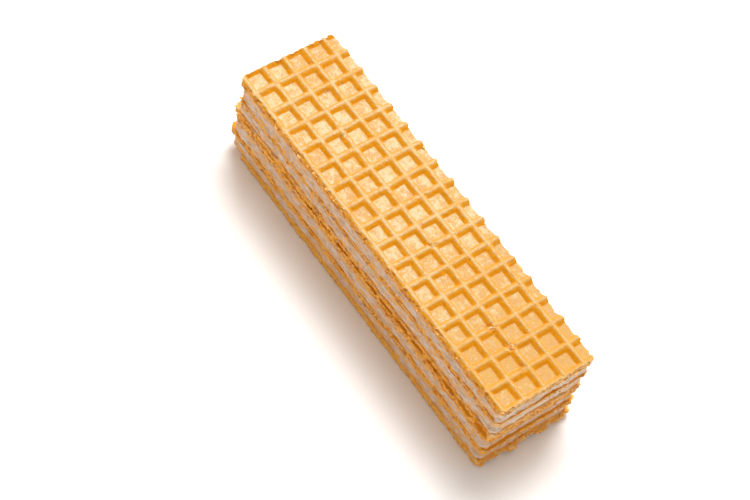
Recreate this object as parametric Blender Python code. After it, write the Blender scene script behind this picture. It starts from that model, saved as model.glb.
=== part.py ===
"""A cream wafer finger: six crisp waffle sheets with four layers of cream between them.

It is two sandwiches of three sheets and two creams each, laid with their open waffle faces
together, so a row of small hollow cells shows along the middle of each side. Every layer is
its own solid. Metres, +Z up. X runs along the finger towards its near end, Y across it, and
the origin is the middle of the underside, where the finger rests on the ribs of its last sheet.
"""

import math
from collections import namedtuple

import bmesh
import bpy
from mathutils import Matrix, Vector, noise

# Outline of the whole finger
LENGTH = 0.0945
WIDTH = 0.0252
LAYER_GAP = 0.0003

# Waffle pattern pressed into the sheets
PITCH_ALONG = 0.00555
PITCH_ACROSS = 0.00538
RIB_TOP = 0.00070
WALL_RUN = 0.00078
CELL_DEPTH = 0.00100
INNER_CELL_DEPTH = 0.00090
CELLS_ALONG = 19
CELLS_ACROSS = 7

# Cut edges: how far they wander in and out, and over what distance along the edge
Ruffle = namedtuple("Ruffle", "height grain")
CRUST_RUFFLE = Ruffle(0.00050, 0.0021)
CREAM_RUFFLE = Ruffle(0.00050, 0.0060)

# The wandering dies out over this distance inwards. It lies a little to the inner side of the
# straight cut, and drifts from one row of the edge to the next.
RUFFLE_REACH = 0.0030
RUFFLE_INWARD = 0.15
ROW_DRIFT = 2.0

CORNER_CHIP = 0.0009
MERGE = 0.000001

# Layers from the top down, in millimetres: the thickness, then how far each side is cut back
# from the outline (far end, near end, left side, right side), then the longest straight
# stretch that is left along a cut edge.
Layer = namedtuple("Layer", "name kind thickness far near left right stretch")
LAYERS = (
    Layer("wafer_1", "waffle_up", 1.9, 0.1, 0.1, 0.0, 0.0, 1.9),
    Layer("cream_1", "cream", 4.1, 1.2, 0.2, 0.1, 0.3, 2.9),
    Layer("wafer_2", "plain", 1.3, 1.1, 0.0, 0.1, 0.2, 2.0),
    Layer("cream_2", "cream", 3.0, 1.2, 0.3, 0.2, 0.4, 2.9),
    Layer("wafer_3", "waffle_down", 1.7, 0.0, 0.0, 0.0, 0.1, 3.4),
    Layer("wafer_4", "waffle_up", 2.2, 0.9, 0.1, 0.0, 0.2, 3.4),
    Layer("cream_3", "cream", 4.0, 1.0, 0.4, 0.1, 0.3, 2.9),
    Layer("wafer_5", "plain", 1.6, 0.0, -0.1, 0.0, 0.0, 2.0),
    Layer("cream_4", "cream", 2.8, 1.6, 0.2, 0.1, 0.2, 2.9),
    Layer("wafer_6", "waffle_down", 2.0, 1.8, -0.3, 0.0, 0.0, 3.4),
)
MILLIMETRE = 0.001

# Where the ribs of each waffle face lie, in pitches from the middle of the finger, how far the
# face is turned against the cut, in degrees, and the depth of its cells. The middle sheets were
# cut through their cells, a little askew.
Pattern = namedtuple("Pattern", "along across turn depth")
PATTERNS = {
    "wafer_1": Pattern(0.41, -0.227, 0.0, CELL_DEPTH),
    "wafer_3": Pattern(0.45, -0.46, -0.6, INNER_CELL_DEPTH),
    "wafer_4": Pattern(0.45, -0.46, -0.6, INNER_CELL_DEPTH),
    "wafer_6": Pattern(0.0, -0.286, 0.0, CELL_DEPTH),
}

# The broken corner of the last sheet: how far it reaches along the left side and the far end
BROKEN_ALONG = 0.0040
BROKEN_ACROSS = 0.0060

CRUST_COLOUR = (0.88, 0.50, 0.15, 1.0)
CORE_COLOUR = (0.72, 0.36, 0.09, 1.0)
CREAM_COLOUR = (0.70, 0.50, 0.36, 1.0)
CRUST_ROUGHNESS = 0.60
CREAM_ROUGHNESS = 0.55


def clear_scene():
    for old in list(bpy.data.objects):
        bpy.data.objects.remove(old, do_unlink=True)


def make_material(name, colour, roughness):
    material = bpy.data.materials.new(name)
    material.use_nodes = True
    shader = material.node_tree.nodes["Principled BSDF"]
    shader.inputs["Base Color"].default_value = colour
    shader.inputs["Roughness"].default_value = roughness
    shader.inputs["Metallic"].default_value = 0.0
    return material


def rib_edge(index, pitch, count, phase):
    """Place of one edge of a rib: even numbers are the near edges, odd ones the far edges."""
    rib = index // 2 - count / 2 + 0.5
    side = index % 2 - 0.5
    return (rib + phase) * pitch + side * RIB_TOP


def waffle_face(bm, pattern):
    """The face of a waffle sheet: a net of flat rib tops with the cells pressed in between."""
    columns = 2 * CELLS_ALONG + 1
    rows = 2 * CELLS_ACROSS + 1
    bmesh.ops.create_grid(bm, x_segments=columns, y_segments=rows, size=0.5)
    cells = []
    for face in bm.faces:
        middle = face.calc_center_median()
        column = math.floor((middle.x + 0.5) * columns)
        row = math.floor((middle.y + 0.5) * rows)
        if column % 2 and row % 2:
            cells.append(face)
    for vert in bm.verts:
        column = round((vert.co.x + 0.5) * columns)
        row = round((vert.co.y + 0.5) * rows)
        vert.co.x = rib_edge(column, PITCH_ALONG, CELLS_ALONG, pattern.along)
        vert.co.y = rib_edge(row, PITCH_ACROSS, CELLS_ACROSS, pattern.across)
    bmesh.ops.inset_individual(
        bm, faces=cells, thickness=WALL_RUN, depth=-pattern.depth, use_even_offset=True
    )
    turn = Matrix.Rotation(math.radians(pattern.turn), 3, "Z")
    bmesh.ops.rotate(bm, verts=bm.verts, cent=(0, 0, 0), matrix=turn)


def plain_face(bm):
    """The face of a layer whose own pattern is buried: one flat rectangle, cut to size later."""
    bmesh.ops.create_grid(bm, x_segments=1, y_segments=1, size=LENGTH)


def cut_away(bm, point, outward):
    """Cuts the face along an upright plane and drops the part outside it."""
    bmesh.ops.bisect_plane(
        bm,
        geom=bm.verts[:] + bm.edges[:] + bm.faces[:],
        dist=MERGE,
        plane_co=Vector(point),
        plane_no=Vector(outward),
        clear_outer=True,
    )


def cut_planes(layer):
    """Point and outward direction of each cut: the four sides, then the four blunted corners."""
    far = -LENGTH / 2 + layer.far * MILLIMETRE
    near = LENGTH / 2 - layer.near * MILLIMETRE
    left = -WIDTH / 2 + layer.left * MILLIMETRE
    right = WIDTH / 2 - layer.right * MILLIMETRE
    planes = [
        ((far, 0, 0), (-1, 0, 0)),
        ((near, 0, 0), (1, 0, 0)),
        ((0, left, 0), (0, -1, 0)),
        ((0, right, 0), (0, 1, 0)),
    ]
    for end, end_way in ((far, -1), (near, 1)):
        for side, side_way in ((left, -1), (right, 1)):
            planes.append(((end - end_way * CORNER_CHIP, side, 0), (end_way, side_way, 0)))
    if layer.name == LAYERS[-1].name:
        planes.append(((far + BROKEN_ALONG, left, 0), (-BROKEN_ACROSS, -BROKEN_ALONG, 0)))
    return planes


def divide_rim(bm, step):
    """Splits the long stretches of the cut outline, so that they can crumble."""
    rim = [edge for edge in bm.edges if edge.is_boundary]
    for edge in rim:
        cuts = math.ceil(edge.calc_length() / step) - 1
        if cuts > 0:
            bmesh.ops.subdivide_edges(bm, edges=[edge], cuts=cuts)


def drop_rim(bm, depth):
    """Draws the outline down to one depth below the face, as the next row of the cut edge."""
    rim = [edge for edge in bm.edges if edge.is_boundary]
    bmesh.ops.extrude_edge_only(bm, edges=rim)
    rim = [edge for edge in bm.edges if edge.is_boundary]
    for vert in {vert for edge in rim for vert in edge.verts}:
        vert.co.z = -depth
    return rim


def thicken(bm, depths):
    """Gives the face its cut edge, row by row, and closes it with the flat back."""
    for depth in depths:
        rim = drop_rim(bm, depth)
    bmesh.ops.edgeloop_fill(bm, edges=rim)


def wander(point, distance, ruffle):
    """How far the cut edge moves outwards at a point, from its distance to the straight cut."""
    nearness = 1.0 - min(max(distance / RUFFLE_REACH, 0.0), 1.0)
    return ruffle.height * nearness * (noise.noise(point / ruffle.grain) - RUFFLE_INWARD)


def ruffle_edges(bm, ruffle, seed):
    """Makes the straight cuts uneven, each row of the edge in its own way."""
    low_x = min(vert.co.x for vert in bm.verts)
    high_x = max(vert.co.x for vert in bm.verts)
    low_y = min(vert.co.y for vert in bm.verts)
    high_y = max(vert.co.y for vert in bm.verts)
    for vert in bm.verts:
        x, y, z = vert.co
        own_patch = ROW_DRIFT * z + seed * LENGTH
        on_end = Vector((x, y, own_patch))
        on_side = Vector((y + LENGTH, x, own_patch))
        vert.co.x += wander(on_end, high_x - x, ruffle) - wander(on_end, x - low_x, ruffle)
        vert.co.y += wander(on_side, high_y - y, ruffle) - wander(on_side, y - low_y, ruffle)


def edge_rows(layer, thickness):
    """Depths of the rows of the cut edge: one in the layer's body, and one at its back."""
    if layer.name in PATTERNS:
        depth = PATTERNS[layer.name].depth
        return ((depth + thickness) / 2, thickness)
    return (thickness / 2, thickness)


def make_layer(layer, top, bottom, seed, material):
    """One sheet or one layer of cream as a closed solid between two heights."""
    bm = bmesh.new()
    if layer.name in PATTERNS:
        waffle_face(bm, PATTERNS[layer.name])
    else:
        plain_face(bm)
    for point, outward in cut_planes(layer):
        cut_away(bm, point, outward)
    divide_rim(bm, layer.stretch * MILLIMETRE)
    thicken(bm, edge_rows(layer, top - bottom))
    ruffle_edges(bm, CREAM_RUFFLE if layer.kind == "cream" else CRUST_RUFFLE, seed)
    if layer.kind == "waffle_down":
        bmesh.ops.scale(bm, vec=(1, 1, -1), verts=bm.verts)
        bmesh.ops.translate(bm, verts=bm.verts, vec=(0, 0, bottom))
    else:
        bmesh.ops.translate(bm, verts=bm.verts, vec=(0, 0, top))
    bmesh.ops.recalc_face_normals(bm, faces=bm.faces)
    bmesh.ops.triangulate(bm, faces=bm.faces)
    mesh = bpy.data.meshes.new(layer.name)
    bm.to_mesh(mesh)
    bm.free()
    mesh.materials.append(material)
    made = bpy.data.objects.new(layer.name, mesh)
    bpy.context.scene.collection.objects.link(made)
    return made


def stack_layers():
    """Builds the layers from the top down, each with its share of the gap to its neighbours."""
    materials = {
        "waffle_up": make_material("baked_crust", CRUST_COLOUR, CRUST_ROUGHNESS),
        "plain": make_material("baked_core", CORE_COLOUR, CRUST_ROUGHNESS),
        "cream": make_material("cream_filling", CREAM_COLOUR, CREAM_ROUGHNESS),
    }
    materials["waffle_down"] = materials["waffle_up"]
    height = sum(layer.thickness for layer in LAYERS) * MILLIMETRE
    made = []
    top = height
    for seed, layer in enumerate(LAYERS):
        bottom = top - layer.thickness * MILLIMETRE
        upper = top - (LAYER_GAP / 2 if layer is not LAYERS[0] else 0)
        lower = bottom + (LAYER_GAP / 2 if layer is not LAYERS[-1] else 0)
        made.append(make_layer(layer, upper, lower, seed, materials[layer.kind]))
        top = bottom
    return made


def centre_outline(parts):
    """Shifts all layers together so that the outline is centred over the origin."""
    corners = [vert.co for part in parts for vert in part.data.vertices]
    shift = Vector((
        -(min(co.x for co in corners) + max(co.x for co in corners)) / 2,
        -(min(co.y for co in corners) + max(co.y for co in corners)) / 2,
        0,
    ))
    for part in parts:
        part.data.transform(Matrix.Translation(shift))


clear_scene()
centre_outline(stack_layers())
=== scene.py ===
"""Looks of a cream wafer cookie: detailed sheets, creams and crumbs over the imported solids.

Shapes are worked out in millimetres and brought to metres when a mesh is finished. X runs along
the cookie towards its near end, Y across it, Z up through its layers.
"""

import math
import random
from collections import defaultdict, namedtuple

import bmesh
import bpy
from mathutils import Matrix, Vector, noise


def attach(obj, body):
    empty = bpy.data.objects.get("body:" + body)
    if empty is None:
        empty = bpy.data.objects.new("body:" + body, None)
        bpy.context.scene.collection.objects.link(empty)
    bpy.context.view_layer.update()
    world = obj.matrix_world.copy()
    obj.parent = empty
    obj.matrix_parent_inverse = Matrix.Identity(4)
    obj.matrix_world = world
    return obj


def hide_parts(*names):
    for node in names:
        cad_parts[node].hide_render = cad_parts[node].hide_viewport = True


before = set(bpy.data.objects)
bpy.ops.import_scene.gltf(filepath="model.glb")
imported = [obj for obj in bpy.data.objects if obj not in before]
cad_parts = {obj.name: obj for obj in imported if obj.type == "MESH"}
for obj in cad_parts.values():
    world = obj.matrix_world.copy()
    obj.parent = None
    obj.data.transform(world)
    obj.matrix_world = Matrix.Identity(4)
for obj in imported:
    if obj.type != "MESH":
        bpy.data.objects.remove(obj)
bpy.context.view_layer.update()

METRES = 0.001

# Noise vectors start from the clock unless they are seeded
NOISE_SEED = 5
noise.seed_set(NOISE_SEED)

# Outline and waffle pattern, as in the solids
LENGTH = 94.5
WIDTH = 25.2
PITCH_ALONG = 5.55
PITCH_ACROSS = 5.38
RIB_TOP = 0.70
WALL_RUN = 0.78
RIB_CROWN = 0.12
CORNER_CHIP = 0.9
BROKEN_ALONG = 4.0
BROKEN_ACROSS = 6.0
CENTRING = Vector((-0.09, 0.0, 0.0))

# Layers from the top down: thickness, then how far the far end, near end, left side and right
# side are cut back from the outline
Layer = namedtuple("Layer", "node piece kind thickness far near left right")
LAYERS = (
    Layer("wafer_1", "sheet_1", "waffle_up", 1.9, 0.1, 0.1, 0.0, 0.0),
    Layer("cream_1", "filling_1", "cream", 4.1, 1.2, 0.2, 0.1, 0.3),
    Layer("wafer_2", "sheet_2", "plain", 1.3, 1.1, 0.0, 0.1, 0.2),
    Layer("cream_2", "filling_2", "cream", 3.0, 1.2, 0.3, 0.2, 0.4),
    Layer("wafer_3", "sheet_3", "waffle_down", 1.7, 0.0, 0.0, 0.0, 0.1),
    Layer("wafer_4", "sheet_4", "waffle_up", 2.2, 0.9, 0.1, 0.0, 0.2),
    Layer("cream_3", "filling_3", "cream", 4.0, 1.0, 0.4, 0.1, 0.3),
    Layer("wafer_5", "sheet_5", "plain", 1.6, 0.0, -0.1, 0.0, 0.0),
    Layer("cream_4", "filling_4", "cream", 2.8, 1.6, 0.2, 0.1, 0.2),
    Layer("wafer_6", "sheet_6", "waffle_down", 2.0, 1.8, -0.3, 0.0, 0.0),
)
HEIGHT = sum(layer.thickness for layer in LAYERS)

# Where the ribs lie, in pitches from the middle, how far the face is turned, in degrees, how deep
# its cells are, how far its ribs stay off the next sheet, the grid lines beside each rib, and the
# step between those on a cell's floor
Pattern = namedtuple("Pattern", "along across turn depth gap lines step")
FINE_LINES = (0.10, 0.26, 0.36, 0.50, 0.68, 0.86, 1.02, 1.14, 1.28)
COARSE_LINES = (0.14, 0.36, 0.75, 1.14)
PATTERNS = {
    "wafer_1": Pattern(0.45, -0.22, 0.0, 1.00, 0.0, FINE_LINES, 0.33),
    "wafer_3": Pattern(0.45, -0.46, -0.6, 0.90, 0.07, COARSE_LINES, 0.8),
    "wafer_4": Pattern(0.45, -0.46, -0.6, 0.90, 0.07, COARSE_LINES, 0.8),
    "wafer_6": Pattern(0.0, -0.286, 0.0, 1.00, 0.0, FINE_LINES, 0.33),
}

# Form of a rib's walls, and how much the cells' corners are rounded
WALL_POWER = 1.5
WALL_ROUNDING = 0.15
CORNER_ROUNDING = 0.3

# Unevenness of a waffle face: how far the ribs wander, how their width and their height vary, as
# heights with the distance over which each changes, and where their crowns are nicked
DRIFT = 0.16
DRIFT_GRAIN = 6.5
WIDTH_WAVES = ((0.10, 1.7), (0.08, 0.6))
HEIGHT_WAVES = ((0.07, 1.9), (0.07, 0.55))
NICK_GRAIN = 0.8
NICK_START = 0.38
NICK_DEPTH = 0.5
CROWN_SWELL = 0.5
FLOOR_SWELL = 0.7
MOST_RISE = 0.02

# How much less the cells' floors break than the ribs, and how clearly nicks and breaks show
BREAK_EASING = 0.6
NICK_SHOWN = 4.0
BREAK_SHOWN = 3.0

# How far apart the sheets lie in the noise of their ribs and in that of their height
RIB_SHIFT = 31.0
HEIGHT_SHIFT = 17.0

# Size of the faces along a cut edge, down it, and in from it
EDGE_STEP = 0.24
ROW_STEP = 0.16
INSET_ROWS = (0.25, 0.55, 1.0, 1.8, 3.0)
OVERHANG = 2.0

# Unevenness of the cut edges: a height, the distance over which it changes, and how far in from
# the cut it reaches
Wave = namedtuple("Wave", "height grain reach")
TOP_WAVES = (Wave(0.16, 3.2, 2.0), Wave(0.16, 0.8, 0.8), Wave(0.14, 0.34, 0.4))
CRUST_WAVES = (Wave(0.26, 2.4, 3.0), Wave(0.22, 0.9, 1.0), Wave(0.18, 0.38, 0.5))
CREAM_WAVES = (Wave(0.26, 5.0, 3.0), Wave(0.20, 1.8, 1.0), Wave(0.08, 0.6, 0.5))

# How much faster it changes down a cut than along it, how much of it goes inwards everywhere, and
# how far out it goes at most
LAYERING = 1.9
EDGE_INWARD = 0.15
MOST_OUTWARD = 0.36

# Pores and crevices of a cut edge, shallower in the cream
SHEET_PIT_DEPTH = 0.42
CREAM_PIT_DEPTH = 0.16
PIT_GRAIN = 0.85
PIT_START = 0.18
PIT_RISE = 0.35
PIT_REACH = 0.3
PIT_SHIFT = Vector((7.0, 3.0, 5.0))

# Lumps of the bottom sheet at the near end: place across, height, width
Lump = namedtuple("Lump", "across height width")
LUMPS = (Lump(-3.9, 0.8, 1.2), Lump(4.7, 0.7, 1.1), Lump(-9.6, 0.3, 1.0), Lump(9.9, 0.3, 1.4))
LUMP_REACH = 3.0

# Broken places of the top ribs, and one dark dot on a cell's floor
Worn = namedtuple("Worn", "x y radius depth")
WORN = (
    Worn(29.9, -2.1, 1.7, 0.50),
    Worn(35.6, -1.5, 1.5, 0.45),
    Worn(40.8, -2.4, 1.4, 0.45),
    Worn(7.7, -0.9, 1.4, 0.45),
    Worn(-34.9, 2.0, 1.2, 0.40),
    Worn(-23.5, -1.6, 1.2, 0.40),
    Worn(-20.4, -8.8, 0.5, 0.25),
)
WORN_STEEPNESS = 1.6
WORN_LEAST = 0.6
WORN_GRAIN = 0.45

# The middle sheets sag and rise a little between the flat outer ones, and the two plain sheets
# lift towards the near end
SAG = 0.28
SAG_ALONG = 13.0
SAG_ACROSS = 9.0
SAG_THROUGH = 7.0
LIFT = 0.8
LIFT_START = -12.0
LIFT_RUN = 36.0
LIFT_LEVELS = (17.95, 5.6)
LIFT_REACH = 3.6


def clamp(value):
    """The value, kept between 0 and 1."""
    return min(max(value, 0.0), 1.0)


def smooth(value):
    """A gentle step from 0 to 1."""
    value = clamp(value)
    return value * value * (3.0 - 2.0 * value)


# Waffle faces


def grid_lines(low, high, pitch, phase, pattern):
    """Places of the grid lines across a waffle face: close together on ribs and their walls."""
    edge = pattern.lines[-1]
    floor_width = pitch - 2 * edge
    steps = round(floor_width / pattern.step)
    offsets = [-line for line in pattern.lines] + list(pattern.lines)
    offsets += [edge + floor_width * i / steps for i in range(1, steps)]
    first = math.floor(low / pitch - phase) - 1
    last = math.ceil(high / pitch - phase) + 1
    places = [(rib + phase) * pitch + offset for rib in range(first, last + 1) for offset in offsets]
    return sorted(place for place in places if low <= place <= high)


def line_offset(place, pitch, phase):
    """Signed distance from the nearest rib's centre line."""
    part = place / pitch - phase
    return (part - round(part)) * pitch


def sink(distance):
    """How far the face has sunk, from 0 on a rib's crown to 1 on a cell's floor."""
    step = clamp((distance - RIB_CROWN) / (RIB_TOP / 2 + WALL_RUN - RIB_CROWN))
    return (1 - WALL_ROUNDING) * step**WALL_POWER + WALL_ROUNDING * smooth(step)


def unevenness(place, waves):
    """The sum of some waves, each a height and its grain, at a place."""
    return sum(height * noise.noise(place / grain) for height, grain in waves)


def waffle_depth(x, y, pattern, seed):
    """How far a point has sunk, from 0 to 1, whether it is on the side of a rib that faces away from
    the light and gets painted shade, and whether that rib runs along the cookie.

    The ribs wander and vary in width, and the walls on each rib's near and its left side, away from
    the light, are given painted shade.
    """
    place = Vector((x, y, seed * RIB_SHIFT))
    drift = noise.noise_vector(place / DRIFT_GRAIN) * DRIFT
    width = unevenness(place, WIDTH_WAVES)
    along = line_offset(x + drift.x, PITCH_ALONG, pattern.along)
    across = line_offset(y + drift.y, PITCH_ACROSS, pattern.across)
    sunk_along = sink(abs(along) + width)
    sunk_across = sink(abs(across) - width)
    lengthwise = sunk_across <= sunk_along
    # The walls on this side face away from the light and are given painted shade
    toast_and_shade = across < 0.0 if lengthwise else along > 0.0
    lower, rounded = min(sunk_along, sunk_across), sunk_along * sunk_across
    sunk = (1 - CORNER_ROUNDING) * lower + CORNER_ROUNDING * rounded
    return sunk, float(toast_and_shade), float(lengthwise)


def wear(x, y):
    """Depth by which the top is broken away at a place."""
    depth = 0.0
    for spot in WORN:
        nearness = 1.0 - clamp(math.hypot(x - spot.x, y - spot.y) / spot.radius)
        if nearness > 0.0:
            depth += spot.depth * smooth(nearness * WORN_STEEPNESS)
    return depth


def waffle_face(bm, pattern, seed, low, high):
    """A finely divided waffle face, ribs at height zero, with each point's place on the ribs."""
    columns = grid_lines(low.x, high.x, PITCH_ALONG, pattern.along, pattern)
    rows = grid_lines(low.y, high.y, PITCH_ACROSS, pattern.across, pattern)
    bmesh.ops.create_grid(bm, x_segments=len(columns) - 1, y_segments=len(rows) - 1, size=0.5)
    cell = bm.verts.layers.float.new("cell")
    worn = bm.verts.layers.float.new("worn")
    shaded_side = bm.verts.layers.float.new("shaded_side")
    long_rib = bm.verts.layers.float.new("long_rib")
    for vert in bm.verts:
        x = columns[round((vert.co.x + 0.5) * (len(columns) - 1))]
        y = rows[round((vert.co.y + 0.5) * (len(rows) - 1))]
        place = Vector((x, y, seed * HEIGHT_SHIFT))
        sunk, toast_and_shade, lengthwise = waffle_depth(x, y, pattern, seed)
        swell = unevenness(place, HEIGHT_WAVES)
        nick = max(noise.noise(place / NICK_GRAIN) - NICK_START, 0.0) * NICK_DEPTH * (1.0 - sunk)
        ragged = clamp(WORN_LEAST + noise.noise(place / WORN_GRAIN))
        break_off = wear(x, y) * ragged if seed == 0 else 0.0
        height = swell * (CROWN_SWELL + FLOOR_SWELL * sunk) - nick
        height -= break_off * (1.0 - BREAK_EASING * sunk)
        level = min(height, MOST_RISE) - pattern.gap - pattern.depth * sunk
        vert.co = Vector((x, y, level))
        vert[cell] = sunk
        # Marks where the walls get painted shade, on the side away from the light
        vert[shaded_side] = toast_and_shade
        vert[long_rib] = lengthwise
        vert[worn] = clamp(nick * NICK_SHOWN + break_off * BREAK_SHOWN)
    turn = Matrix.Rotation(math.radians(pattern.turn), 3, "Z")
    bmesh.ops.rotate(bm, verts=bm.verts, cent=(0, 0, 0), matrix=turn)


# Cut edges


def outline(layer):
    """The straight cuts of a layer: far end, near end, left side, right side."""
    return (
        -LENGTH / 2 + layer.far,
        LENGTH / 2 - layer.near,
        -WIDTH / 2 + layer.left,
        WIDTH / 2 - layer.right,
    )


def cut_planes(layer):
    """Point and outward direction of each cut: four sides, four blunted corners, a broken one."""
    far, near, left, right = outline(layer)
    planes = [
        ((far, 0, 0), (-1, 0, 0)),
        ((near, 0, 0), (1, 0, 0)),
        ((0, left, 0), (0, -1, 0)),
        ((0, right, 0), (0, 1, 0)),
    ]
    for end, end_way in ((far, -1), (near, 1)):
        for side, side_way in ((left, -1), (right, 1)):
            planes.append(((end - end_way * CORNER_CHIP, side, 0), (end_way, side_way, 0)))
    if layer.node == "wafer_6":
        planes.append(((far + BROKEN_ALONG, left, 0), (-BROKEN_ACROSS, -BROKEN_ALONG, 0)))
    return planes


def cut_away(bm, point, outward):
    """Removes what lies beyond one straight cut."""
    bmesh.ops.bisect_plane(
        bm,
        geom=bm.verts[:] + bm.edges[:] + bm.faces[:],
        dist=0.001,
        plane_co=Vector(point),
        plane_no=Vector(outward),
        clear_outer=True,
    )


def divide_rim(bm):
    """Divides the border edges that are longer than the step along a cut."""
    groups = defaultdict(list)
    for edge in bm.edges:
        if edge.is_boundary:
            groups[math.ceil(edge.calc_length() / EDGE_STEP) - 1].append(edge)
    for cuts, edges in groups.items():
        if cuts > 0:
            bmesh.ops.subdivide_edges(bm, edges=edges, cuts=cuts)


def inset_rows(bm, face, layer):
    """Rows of faces inside the rim of a flat face, so that its border can crumble."""
    far, near, left, right = outline(layer)
    for width in INSET_ROWS:
        bmesh.ops.inset_region(bm, faces=[face], thickness=0.0, use_boundary=True)
        for vert in face.verts:
            vert.co.x = min(max(vert.co.x, far + width), near - width)
            vert.co.y = min(max(vert.co.y, left + width), right - width)


def draw_down(bm, layer):
    """Gives the face its cut edge in rows, and closes it with the back."""
    cut = bm.verts.layers.float["cut"]
    down = bm.verts.layers.float["down"]
    rim = [edge for edge in bm.edges if edge.is_boundary]
    rows = round(layer.thickness / ROW_STEP)
    for row in range(rows):
        made = bmesh.ops.extrude_edge_only(bm, edges=rim)["geom"]
        rim = [item for item in made if isinstance(item, bmesh.types.BMEdge) and item.is_boundary]
        for vert in {vert for edge in rim for vert in edge.verts}:
            vert.co.z += (-layer.thickness - vert.co.z) / (rows - row)
            vert[cut] = 1.0
            vert[down] = (row + 1) / rows
    back = bmesh.ops.edgeloop_fill(bm, edges=rim)["faces"]
    inset_rows(bm, back[0], layer)


def wander(place, waves, distance):
    """How far a cut edge moves outwards at a place, from its distance to the straight cut."""
    moved = -EDGE_INWARD * waves[0].height * (1.0 - clamp(distance / waves[0].reach))
    for wave in waves:
        nearness = 1.0 - clamp(distance / wave.reach)
        if nearness > 0.0:
            moved += wave.height * nearness * noise.noise(place / wave.grain)
    if moved > 0.0:
        moved = MOST_OUTWARD * math.tanh(moved / MOST_OUTWARD)
    return moved


def pit(place, distance):
    """How deep a pore or crevice is at a place of a cut, from 0 to 1."""
    nearness = 1.0 - clamp(distance / PIT_REACH)
    if nearness <= 0.0:
        return 0.0
    found = noise.noise(place / PIT_GRAIN + PIT_SHIFT)
    return nearness * smooth((found - PIT_START) / PIT_RISE)


def lumps(y, distance):
    """How far the bottom sheet juts out at the near end."""
    nearness = 1.0 - clamp(distance / LUMP_REACH)
    return nearness * sum(
        lump.height * math.exp(-(((y - lump.across) / lump.width) ** 2)) for lump in LUMPS
    )


def crumble(bm, layer, waves, seed):
    """Makes the straight cuts uneven and pitted."""
    hollow = bm.verts.layers.float.new("hollow")
    pit_depth = CREAM_PIT_DEPTH if layer.kind == "cream" else SHEET_PIT_DEPTH
    far, near, left, right = outline(layer)
    for vert in bm.verts:
        x, y, z = vert.co
        level = z * LAYERING + seed * LENGTH
        on_end = Vector((x, y, level))
        on_side = Vector((y + LENGTH, x, level))
        cuts = (
            (near - x, (1, 0, 0), on_end),
            (x - far, (-1, 0, 0), on_end),
            (right - y, (0, 1, 0), on_side),
            (y - left, (0, -1, 0), on_side),
        )
        for distance, outward, place in cuts:
            if distance < waves[0].reach:
                depth = pit(place, distance)
                vert.co += Vector(outward) * (wander(place, waves, distance) - pit_depth * depth)
                vert[hollow] = max(vert[hollow], depth)
        if layer.node == "wafer_6" and near - x < waves[0].reach:
            vert.co.x += lumps(y, near - x)


# Finishing the meshes

MERGE_DISTANCE = 0.002
SHARP_ANGLE = 50
MOST_CORNERS = 4


def sag(place):
    """Height by which the stack waves at a place: nothing at the top and at the underside."""
    inner = math.sin(math.pi * clamp(place.z / HEIGHT))
    wave = noise.noise(Vector((place.x / SAG_ALONG, place.y / SAG_ACROSS, place.z / SAG_THROUGH)))
    raised = LIFT * smooth((place.x - LIFT_START) / LIFT_RUN)
    nearest = min(abs(place.z - level) for level in LIFT_LEVELS)
    return SAG * inner * wave + raised * (1.0 - smooth(nearest / LIFT_REACH))


def finish_mesh(bm, name, waved=True):
    """Closes a piece: waves it with the stack, brings it to metres and links it."""
    for vert in bm.verts:
        if waved:
            vert.co.z += sag(vert.co)
        vert.co.z = max(vert.co.z, 0.0)
    bmesh.ops.remove_doubles(bm, verts=bm.verts, dist=MERGE_DISTANCE)
    bmesh.ops.translate(bm, verts=bm.verts, vec=CENTRING)
    bmesh.ops.scale(bm, vec=(METRES, METRES, METRES), verts=bm.verts)
    bmesh.ops.recalc_face_normals(bm, faces=bm.faces)
    bmesh.ops.triangulate(bm, faces=[face for face in bm.faces if len(face.verts) > MOST_CORNERS])
    mesh = bpy.data.meshes.new(name)
    bm.to_mesh(mesh)
    bm.free()
    mesh.shade_smooth()
    mesh.set_sharp_from_angle(angle=math.radians(SHARP_ANGLE))
    piece = bpy.data.objects.new(name, mesh)
    bpy.context.scene.collection.objects.link(piece)
    return piece


def make_layer(layer, top, bottom, seed):
    """One sheet or one layer of cream, from its top down to its bottom."""
    bm = bmesh.new()
    bm.verts.layers.float.new("cut")
    bm.verts.layers.float.new("down")
    if layer.node in PATTERNS:
        far, near, left, right = outline(layer)
        low = Vector((far - OVERHANG, left - OVERHANG, 0))
        high = Vector((near + OVERHANG, right + OVERHANG, 0))
        waffle_face(bm, PATTERNS[layer.node], seed, low, high)
    else:
        bmesh.ops.create_grid(bm, x_segments=1, y_segments=1, size=LENGTH)
    for point, outward in cut_planes(layer):
        cut_away(bm, point, outward)
    divide_rim(bm)
    if layer.node not in PATTERNS:
        inset_rows(bm, bm.faces[:][0], layer)
    draw_down(bm, layer)
    waves = CREAM_WAVES if layer.kind == "cream" else CRUST_WAVES
    crumble(bm, layer, TOP_WAVES if layer.node == "wafer_1" else waves, seed)
    if layer.kind == "waffle_down":
        bmesh.ops.scale(bm, vec=(1, 1, -1), verts=bm.verts)
        bmesh.ops.translate(bm, verts=bm.verts, vec=(0, 0, bottom))
    else:
        bmesh.ops.translate(bm, verts=bm.verts, vec=(0, 0, top))
    return finish_mesh(bm, layer.piece)


# Crumbs and flakes that stick to the cut edges: how many, smallest and largest size, how much
# smaller ones prevail, thickness by size, roughness with its grain, and the seed of their draws

Bits = namedtuple("Bits", "count smallest largest bias flatness roughness grain seed")
CRUMBS = Bits(1300, 0.06, 0.24, 2.5, 0.7, 0.06, 0.14, 7)
FLAKES = Bits(1000, 0.16, 0.50, 2.5, 0.22, 0.06, 0.14, 11)
LARGE_CRUMBS = Bits(70, 0.25, 0.60, 1.5, 0.8, 0.12, 0.3, 23)

# How far in from the outline bits still stick, at the ends and at the sides, and their least height
END_DEPTH = 2.2
SIDE_DEPTH = 1.0
LEAST_HEIGHT = 0.5
FOOT_DEPTH = 1.5

# How far a bit turns and tilts at most, and how much longer than wide it is
MOST_TURN = 0.5
MOST_TILT = 0.4
STRETCH = (1.1, 1.9)


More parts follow.
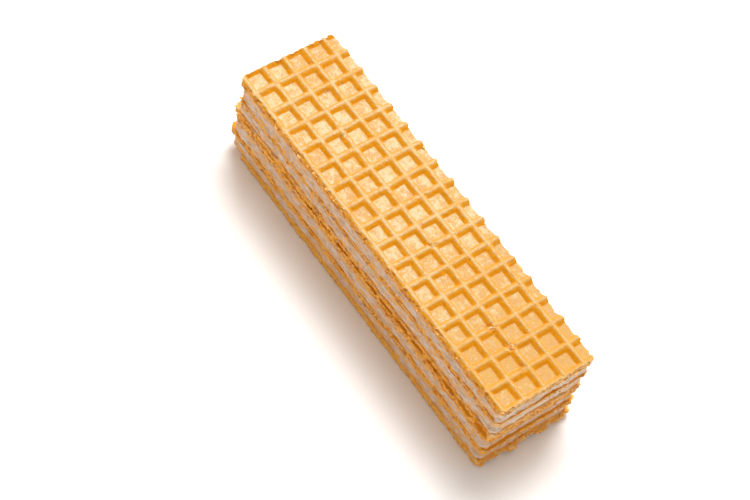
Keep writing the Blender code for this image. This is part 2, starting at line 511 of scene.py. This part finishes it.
def cut_places(pieces):
    """Places on the cut edges of some pieces, in millimetres before centring, in a fixed order."""
    places = []
    for piece in pieces:
        cut = piece.data.attributes["cut"].data
        for vertex in piece.data.vertices:
            x, y, z = vertex.co / METRES - CENTRING
            on_rim = abs(x) > LENGTH / 2 - END_DEPTH or abs(y) > WIDTH / 2 - SIDE_DEPTH
            if cut[vertex.index].value > 0.5 and on_rim and z > LEAST_HEIGHT:
                places.append(Vector((x, y, z)))
    return sorted(places, key=tuple)


def bit(bm, draw, place, size, flatness):
    """One crumb or flake, drawn out along the edge that it sticks to."""
    on_side = LENGTH / 2 - abs(place.x) > WIDTH / 2 - abs(place.y)
    heading = 0.0 if on_side else math.pi / 2
    turn = Matrix.Rotation(heading + draw.uniform(-MOST_TURN, MOST_TURN), 4, "Z")
    tilt = Matrix.Rotation(draw.uniform(-MOST_TILT, MOST_TILT), 4, "X")
    stretch = Matrix.Diagonal((size * draw.uniform(*STRETCH), size, size * flatness, 1.0))
    matrix = Matrix.Translation(place) @ turn @ tilt @ stretch
    bmesh.ops.create_icosphere(bm, subdivisions=1, radius=1.0, matrix=matrix)


def make_bits(name, kind, places, finer=False):
    """Bits of baked sheet that stick to some places."""
    draw = random.Random(kind.seed)
    bm = bmesh.new()
    for _ in range(kind.count):
        size = kind.smallest + (kind.largest - kind.smallest) * draw.random() ** kind.bias
        bit(bm, draw, draw.choice(places), size, kind.flatness)
    if finer:
        bmesh.ops.subdivide_edges(bm, edges=bm.edges, cuts=1, use_grid_fill=True)
    for vert in bm.verts:
        vert.co += kind.roughness * noise.noise_vector(vert.co / kind.grain)
    return finish_mesh(bm, name, waved=False)


def near_foot(piece):
    """The near end's places of the bottom sheet, where the large crumbs lie."""
    return [place for place in cut_places([piece]) if place.x > LENGTH / 2 - FOOT_DEPTH]


# The pale cream that the knife dragged over the near left corner: dabs with place and reach, and
# their unevenness

SMEARS = (
    ((46.3, -11.75, 20.0), (0.95, 0.90, 1.2)),
    ((45.9, -11.8, 15.4), (1.3, 0.85, 0.7)),
    ((46.5, -11.0, 15.3), (0.80, 1.3, 0.5)),
)
SMEAR_WAVES = ((0.28, 1.0), (0.16, 0.4))


def make_smear(name):
    """The dabs of cream, run into each other."""
    bm = bmesh.new()
    for place, size in SMEARS:
        matrix = Matrix.Translation(place) @ Matrix.Diagonal((*size, 1.0))
        bmesh.ops.create_icosphere(bm, subdivisions=5, radius=1.0, matrix=matrix)
    for vert in bm.verts:
        for height, grain in SMEAR_WAVES:
            vert.co += height * noise.noise_vector(vert.co / grain)
    return finish_mesh(bm, name)


# Materials

MIX_FACTOR = 0
MIX_FIRST = 6
MIX_SECOND = 7
MIX_RESULT = 2

# Where the skin turns yellower towards the near end, and the near end's upper part, painted paler
# as light falling on it
YELLOWER_ALONG = (-8.0, 46.0)
PALER_ALONG = (45.3, 46.8)
PALER_UP = (9.0, 17.0)


class Value:
    """A number or colour that a material works with; arithmetic on it adds Math nodes."""

    def __init__(self, finish, socket):
        self.finish = finish
        self.socket = socket

    def math(self, operation, *others):
        """Adds one Math node."""
        values = dict(enumerate((self, *others)))
        return self.finish.node("ShaderNodeMath", {"operation": operation}, values)

    def __add__(self, other):
        return self.math("ADD", other)

    __radd__ = __add__

    def __mul__(self, other):
        return self.math("MULTIPLY", other)

    __rmul__ = __mul__

    def __sub__(self, other):
        return self.math("SUBTRACT", other)

    def __rsub__(self, other):
        return self * -1.0 + other

    def __abs__(self):
        return self.math("ABSOLUTE")

    def step(self, low, high):
        """0 below low, 1 above high, a smooth rise between them."""
        settings = {"interpolation_type": "SMOOTHSTEP"}
        inputs = {"Value": self, "From Min": low, "From Max": high}
        return self.finish.node("ShaderNodeMapRange", settings, inputs)


class Finish:
    """A material that is put together from named patterns."""

    def __init__(self, name):
        self.material = bpy.data.materials.new(name)
        self.material.use_nodes = True
        self.tree = self.material.node_tree
        self.shader = self.tree.nodes["Principled BSDF"]
        self.spot = self.node("ShaderNodeTexCoord", {}, {}, "Object")

    def node(self, kind, settings, inputs, output=0):
        """Adds any node: its type, its settings, and the values or links of its sockets."""
        made = self.tree.nodes.new(kind)
        for setting, value in settings.items():
            setattr(made, setting, value)
        for socket, value in inputs.items():
            if isinstance(value, Value):
                self.tree.links.new(value.socket, made.inputs[socket])
            else:
                made.inputs[socket].default_value = value
        return Value(self, made.outputs[output])

    def attribute(self, name):
        """What the mesh says at each point, such as how deep it lies in a cell."""
        return self.node("ShaderNodeAttribute", {"attribute_name": name}, {}, "Fac")

    def place(self, axis):
        """Place along an axis, in millimetres: X from the middle of the cookie, Z from its foot."""
        part = self.node("ShaderNodeSeparateXYZ", {}, {"Vector": self.spot}, axis)
        return part * (1.0 / METRES)

    def lit_near_end(self):
        """Upper part of the near end, painted paler as light falling on it."""
        return self.place("X").step(*PALER_ALONG) * self.place("Z").step(*PALER_UP)

    def noise(self, grain, detail=2.0, roughness=0.5, offset=0.0, height=None):
        """Soft noise from 0 to 1: patches one grain long and, where given, one height tall."""
        tall = grain if height is None else height
        scale = (1.0 / METRES / grain, 1.0 / METRES / grain, 1.0 / METRES / tall)
        place = self.node(
            "ShaderNodeVectorMath", {"operation": "MULTIPLY"}, {0: self.spot, 1: scale}
        )
        inputs = {
            "Vector": place,
            "W": offset,
            "Scale": 1.0,
            "Detail": detail,
            "Roughness": roughness,
        }
        return self.node("ShaderNodeTexNoise", {"noise_dimensions": "4D"}, inputs, "Fac")

    def mix(self, factor, first, second):
        """A colour between two, by a factor."""
        inputs = {MIX_FACTOR: factor, MIX_FIRST: first, MIX_SECOND: second}
        return self.node("ShaderNodeMix", {"data_type": "RGBA"}, inputs, MIX_RESULT)

    def paint(self, socket, value):
        """Links a value to one of the shader's sockets."""
        self.tree.links.new(value.socket, self.shader.inputs[socket])

    def bump(self, height, distance):
        """Fine relief: the height's full range stands for this distance in millimetres."""
        inputs = {"Height": height, "Distance": distance * METRES, "Strength": 1.0}
        self.paint("Normal", self.node("ShaderNodeBump", {}, inputs, "Normal"))


def colour(red, green, blue):
    """An opaque colour."""
    return (red, green, blue, 1.0)


FLOOR_GOLD = colour(0.585, 0.325, 0.112)
FLOOR_PALE = colour(0.635, 0.54, 0.325)
FLOOR_YELLOW = colour(0.61, 0.375, 0.060)
FLOUR_WHITE = colour(0.675, 0.645, 0.50)
# Painted highlight along the ribs' crests
CREST_HIGHLIGHT = colour(0.65, 0.50, 0.245)
RIB_GOLD = colour(0.63, 0.32, 0.088)
WALL_AMBER = colour(0.80, 0.335, 0.005)
DEEP_AMBER = colour(0.60, 0.205, 0.008)
CUT_ORANGE = colour(0.90, 0.345, 0.012)
# Painted light: the inner faces, seen only in the slots, brighter than the outer skin
SLOT_AMBER = colour(1.0, 0.53, 0.035)
TOAST = colour(0.42, 0.14, 0.012)
CUT_AMBER = colour(0.90, 0.375, 0.018)
CUT_PALE = colour(0.90, 0.585, 0.215)
# Painted light: the bottom sheet's cut, lighter as if lit from below
CUT_LIT_FROM_BELOW = colour(0.97, 0.45, 0.030)
# Painted light: the sheets' cut on the near end's upper part
CUT_LIT_END = colour(0.89, 0.65, 0.34)
SHINE_THROUGH = colour(1.0, 0.35, 0.020)
CREAM_BASE = colour(0.575, 0.385, 0.245)
CREAM_WHITE = colour(0.665, 0.56, 0.49)
# Painted light: the cream on the near end's upper part
CREAM_LIT_END = colour(0.77, 0.64, 0.52)
# Peach tone of the cream's patches, also used as painted shade in its pits
CREAM_PEACH_AND_SHADE = colour(0.665, 0.375, 0.155)

# How much of the cream's smear covers a sheet's cut at its middle, and what its rim adds
SMEAR_RANGE = (0.62, 0.68)
SMEAR_RIM = 0.16

# Sheets are matt, the cream a little less
CRUST_SHINE = 0.2
CREAM_SHINE = 0.35

# Strength of the light that comes through the thin inner sheets
GLOW = 0.045

# How much a cut is smeared with cream, on the outer sheets and inside the stack, and how much of
# the brown specks and painted pit shade the bottom sheet keeps: less, so that it shows paler, as
# painted light from below
SMEARED_OUTSIDE = 0.25
SMEARED_INSIDE = 0.85
BOTTOM_TOAST_AND_SHADE = 0.3

# How many crumbs the knife dragged along the layers of cream, and over the smear
CRUMBED = 0.9
CRUMBED_SMEAR = 0.12


def baked_skin(finish):
    """Ribs, walls and cell floors: paler in the middle of the cookie, a deeper toast colour on the
    walls, with painted shade on the walls away from the light and a painted highlight along the
    crests.
    """
    sunk = finish.attribute("cell")
    grain = finish.noise(0.42, detail=3.0, roughness=0.65, offset=3.0)
    flour = finish.noise(1.1, detail=4.0, roughness=0.65, offset=9.0)
    clouds = finish.noise(7.0, detail=2.0, roughness=0.5, offset=12.0)
    pores = finish.noise(0.34, detail=2.0, roughness=0.5, offset=31.0)
    near = finish.place("X").step(*YELLOWER_ALONG)
    skin = finish.mix(sunk.step(0.3, 0.8), RIB_GOLD, FLOOR_GOLD)
    pale = (flour + clouds * 0.6 - near * 0.16).step(0.68, 0.90) * (sunk.step(0.80, 1.0) * 0.6 + 0.4)
    skin = finish.mix(pale, skin, FLOOR_PALE)
    yellow = finish.noise(0.75, detail=3.0, roughness=0.6, offset=51.0)
    skin = finish.mix(yellow.step(0.48, 0.64) * 0.6 + near * 0.16, skin, FLOOR_YELLOW)
    skin = finish.mix(grain.step(0.52, 0.66) * (0.38 - near * 0.12), skin, WALL_AMBER)
    skin = finish.mix(grain.step(0.50, 0.34) * (0.55 - near * 0.25), skin, FLOUR_WHITE)
    # A painted highlight along the crests, stronger on the ribs that run along the cookie
    crest_highlight = (1.0 - sunk.step(0.0, 0.07)) * (finish.attribute("long_rib") * 0.5 + 0.3)
    skin = finish.mix(crest_highlight * flour.step(0.40, 0.56) * (1.0 - near * 0.4), skin, CREST_HIGHLIGHT)
    # Walls have a toast colour all round; those away from the light get it in full, as painted shade
    shaded_side = finish.attribute("shaded_side")
    foot = (1.0 - shaded_side) * sunk.step(0.35, 0.75) * 0.38
    wall_toast_and_shade = (sunk.step(0.04, 0.26) * (shaded_side * 0.66 + 0.34) + foot) * (1.0 - sunk.step(0.93, 1.0))
    skin = finish.mix(wall_toast_and_shade * (1.0 - flour.step(0.54, 0.68) * 0.4), skin, WALL_AMBER)
    skin = finish.mix(wall_toast_and_shade * yellow.step(0.50, 0.38) * 0.30, skin, DEEP_AMBER)
    skin = finish.mix(pores.step(0.62, 0.70) * 0.25, skin, DEEP_AMBER)
    ragged = finish.noise(0.9, detail=3.0, roughness=0.6, offset=40.0)
    broken = finish.attribute("worn").step(0.05, 0.6)
    skin = finish.mix(broken * ragged.step(0.46, 0.60) * 0.8, skin, DEEP_AMBER)
    return finish.mix(broken * ragged.step(0.44, 0.36) * 0.8, skin, FLOUR_WHITE)


def cut_edge(finish, rim, smeared, amber, toast_and_shade):
    """The cut of a sheet: golden, speckled brown, smeared with cream towards its rims, with painted
    shade in its pits and painted light on the near end's upper part.
    """
    grain = finish.noise(0.60, detail=3.0, roughness=0.6, offset=4.0, height=0.22)
    specks = finish.noise(0.70, detail=2.0, roughness=0.6, offset=21.0, height=0.26)
    smear = finish.noise(1.6, detail=4.0, roughness=0.6, offset=27.0, height=0.42)
    edge = finish.mix(grain.step(0.42, 0.72), amber, CUT_PALE)
    edge = finish.mix(specks.step(0.54, 0.66) * 0.65 * toast_and_shade, edge, DEEP_AMBER)
    cover = (smear + rim * SMEAR_RIM).step(*SMEAR_RANGE)
    edge = finish.mix(cover * smeared, edge, CREAM_BASE)
    # Painted light on the near end's upper part
    edge = finish.mix(finish.lit_near_end() * (smear.step(0.35, 0.62) * 0.4 + 0.3), edge, CUT_LIT_END)
    # Painted shade in the pores and crevices
    return finish.mix(finish.attribute("hollow") * 0.7 * toast_and_shade, edge, DEEP_AMBER)


def crust_finish(name, face, two_rims, smeared, amber=CUT_AMBER, toast_and_shade=1.0):
    """Baked sheet: its face as given, or with the skin of a waffle, and its cut edge."""
    finish = Finish(name)
    down = finish.attribute("down")
    rim = abs(down * 2.0 - 1.0) if two_rims else down
    skin = finish.mix(finish.noise(1.2, detail=3.0) * 0.4, face, TOAST) if face else baked_skin(finish)
    base = finish.mix(finish.attribute("cut"), skin, cut_edge(finish, rim, smeared, amber, toast_and_shade))
    grain = finish.noise(0.30, detail=3.0, roughness=0.65, offset=3.0)
    fine = finish.noise(0.13, detail=2.0, roughness=0.6, offset=5.0)
    finish.paint("Base Color", base)
    finish.paint("Roughness", grain * 0.25 + 0.45)
    finish.bump(grain * 0.6 + fine * 0.4, 0.22)
    finish.shader.inputs["Specular IOR Level"].default_value = CRUST_SHINE
    return finish.material


def shine_through(material):
    """The faint glow of light that comes through the thin inner sheets."""
    shader = material.node_tree.nodes["Principled BSDF"]
    shader.inputs["Emission Color"].default_value = SHINE_THROUGH
    shader.inputs["Emission Strength"].default_value = GLOW


def cream_finish(name, crumbed):
    """Soft cream with crumbs dragged along it by the knife, painted paler on the near end's upper part
    as light falling on it, and with painted shade in its pits.
    """
    finish = Finish(name)
    down = finish.attribute("down")
    patches = finish.noise(2.4, detail=3.0, roughness=0.55, offset=2.0, height=1.1)
    shade = finish.noise(1.7, detail=3.0, roughness=0.6, offset=33.0, height=0.6)
    grain = finish.noise(0.6, detail=3.0, roughness=0.6, offset=4.0, height=0.35)
    drag = finish.noise(2.4, detail=4.0, roughness=0.65, offset=14.0, height=0.55)
    specks = finish.noise(0.6, detail=2.0, roughness=0.6, offset=18.0, height=0.40)
    base = finish.mix(patches.step(0.40, 0.62), CREAM_BASE, CREAM_WHITE)
    base = finish.mix(shade.step(0.50, 0.68) * 0.6 + grain.step(0.50, 0.70) * 0.2, base, CREAM_PEACH_AND_SHADE)
    rim = abs(down * 2.0 - 1.0)
    crumbs = (drag + rim * 0.15).step(0.585, 0.645)
    # Painted light on the near end's upper part
    base = finish.mix(finish.lit_near_end() * 0.8, base, CREAM_LIT_END)
    base = finish.mix(crumbs * crumbed, base, CUT_AMBER)
    base = finish.mix(specks.step(0.63, 0.68) * crumbed * 0.8, base, DEEP_AMBER)
    # Painted shade in the pits
    base = finish.mix(finish.attribute("hollow") * 0.5, base, CREAM_PEACH_AND_SHADE)
    finish.paint("Base Color", base)
    finish.paint("Roughness", grain * 0.3 + 0.4)
    finish.bump(grain * 0.5 + patches * 0.5, 0.16)
    finish.shader.inputs["Specular IOR Level"].default_value = CREAM_SHINE
    return finish.material


def crumb_finish(name):
    """Loose bits of sheet: gold to brown."""
    finish = Finish(name)
    tone = finish.noise(1.1, detail=3.0, roughness=0.6, offset=6.0)
    grain = finish.noise(0.2, detail=2.0, roughness=0.6, offset=8.0)
    base = finish.mix(tone.step(0.40, 0.62), CUT_PALE, CUT_AMBER)
    base = finish.mix(grain.step(0.52, 0.70) * 0.7, base, DEEP_AMBER)
    finish.paint("Base Color", base)
    finish.paint("Roughness", grain * 0.3 + 0.5)
    finish.bump(grain, 0.1)
    return finish.material


def table_finish(name):
    """Matt white, faintly clouded."""
    finish = Finish(name)
    cloud = finish.noise(60.0, detail=2.0)
    white, shade = colour(0.93, 0.93, 0.93), colour(0.90, 0.90, 0.90)
    finish.paint("Base Color", finish.mix(cloud, white, shade))
    finish.paint("Roughness", cloud * 0.1 + 0.85)
    return finish.material


# Camera, light and table top

CAMERA_PLACE = Vector((0.1503, -0.2028, 0.3950))
CAMERA_RIGHT = (0.57847, 0.79590, 0.17867)
CAMERA_UP = (-0.74435, 0.42546, 0.51472)
CAMERA_BACK = (0.33364, -0.43074, 0.83854)
CAMERA_LENS = 102.24
CAMERA_SENSOR = 36.0
KEY_PLACE = (-0.34, 0.36, 0.90)
KEY_SIZE = 0.55
KEY_POWER = 12.8
SKY_STRENGTH = 0.60
SKY_COLOUR = (1.0, 0.92, 0.85, 1.0)
TABLE_REACH = 2.0


def make_camera():
    """The camera at the photograph's angle."""
    data = bpy.data.cameras.new("camera")
    data.lens = CAMERA_LENS
    data.sensor_width = CAMERA_SENSOR
    data.clip_start = 0.01
    camera = bpy.data.objects.new("camera", data)
    bpy.context.scene.collection.objects.link(camera)
    place = CAMERA_PLACE + CENTRING * METRES
    axes = Matrix((CAMERA_RIGHT, CAMERA_UP, CAMERA_BACK)).transposed().to_4x4()
    camera.matrix_world = Matrix.Translation(place) @ axes
    bpy.context.scene.camera = camera


def make_light():
    """One soft light from above, and a pale warm sky."""
    data = bpy.data.lights.new("key", "AREA")
    data.size = KEY_SIZE
    data.energy = KEY_POWER
    light = bpy.data.objects.new("key", data)
    bpy.context.scene.collection.objects.link(light)
    light.location = KEY_PLACE
    light.rotation_euler = (-Vector(KEY_PLACE)).to_track_quat("-Z", "Y").to_euler()
    world = bpy.data.worlds.new("studio")
    bpy.context.scene.world = world
    world.use_nodes = True
    world.node_tree.nodes["Background"].inputs["Color"].default_value = SKY_COLOUR
    world.node_tree.nodes["Background"].inputs["Strength"].default_value = SKY_STRENGTH
    bpy.context.scene.view_settings.view_transform = "Standard"


def make_table():
    """The pale table top under the cookie."""
    bm = bmesh.new()
    bmesh.ops.create_grid(bm, x_segments=1, y_segments=1, size=TABLE_REACH)
    mesh = bpy.data.meshes.new("table_top")
    bm.to_mesh(mesh)
    bm.free()
    table = bpy.data.objects.new("table_top", mesh)
    bpy.context.scene.collection.objects.link(table)
    mesh.materials.append(table_finish("pale_table"))


# Putting it together


def place_extra(piece, material):
    """Adds a piece that has no solid of its own."""
    piece.data.materials.append(material)
    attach(piece, "root")


def dress():
    """Makes every piece, from the top layer down, and then what sticks to them."""
    outer = crust_finish("golden_crust", None, False, SMEARED_OUTSIDE, CUT_ORANGE)
    # The bottom sheet's cut is painted lighter, as light from below
    under = crust_finish("under_crust", None, False, SMEARED_OUTSIDE, CUT_LIT_FROM_BELOW, BOTTOM_TOAST_AND_SHADE)
    # Faces of the middle sheets are painted bright, as light in the shaded slots
    inner = crust_finish("inner_crust", SLOT_AMBER, False, SMEARED_INSIDE)
    core = crust_finish("toasted_core", CUT_AMBER, True, SMEARED_INSIDE)
    shine_through(inner)
    cream = cream_finish("soft_cream", CRUMBED)
    waffles = {"wafer_1": outer, "wafer_3": inner, "wafer_4": inner, "wafer_6": under}
    others = {"plain": core, "cream": cream}
    pieces = {}
    top = HEIGHT
    for seed, layer in enumerate(LAYERS):
        bottom = top - layer.thickness
        piece = make_layer(layer, top, bottom, seed)
        piece.data.materials.append(waffles.get(layer.node) or others[layer.kind])
        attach(piece, "root")
        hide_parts(layer.node)
        pieces[layer.piece] = piece
        top = bottom
    bits = crumb_finish("loose_crumbs")
    sheets = [piece for name, piece in pieces.items() if name.startswith("sheet")]
    crumbs = make_bits("crumbs", CRUMBS, cut_places(pieces.values()))
    flakes = make_bits("flakes", FLAKES, cut_places(sheets))
    large = make_bits("large_crumbs", LARGE_CRUMBS, near_foot(pieces["sheet_6"]), finer=True)
    for piece in (crumbs, flakes, large):
        place_extra(piece, bits)
    smeared = cream_finish("smeared_cream", CRUMBED_SMEAR)
    place_extra(make_smear("cream_smear"), smeared)


make_camera()
make_light()
make_table()
dress()
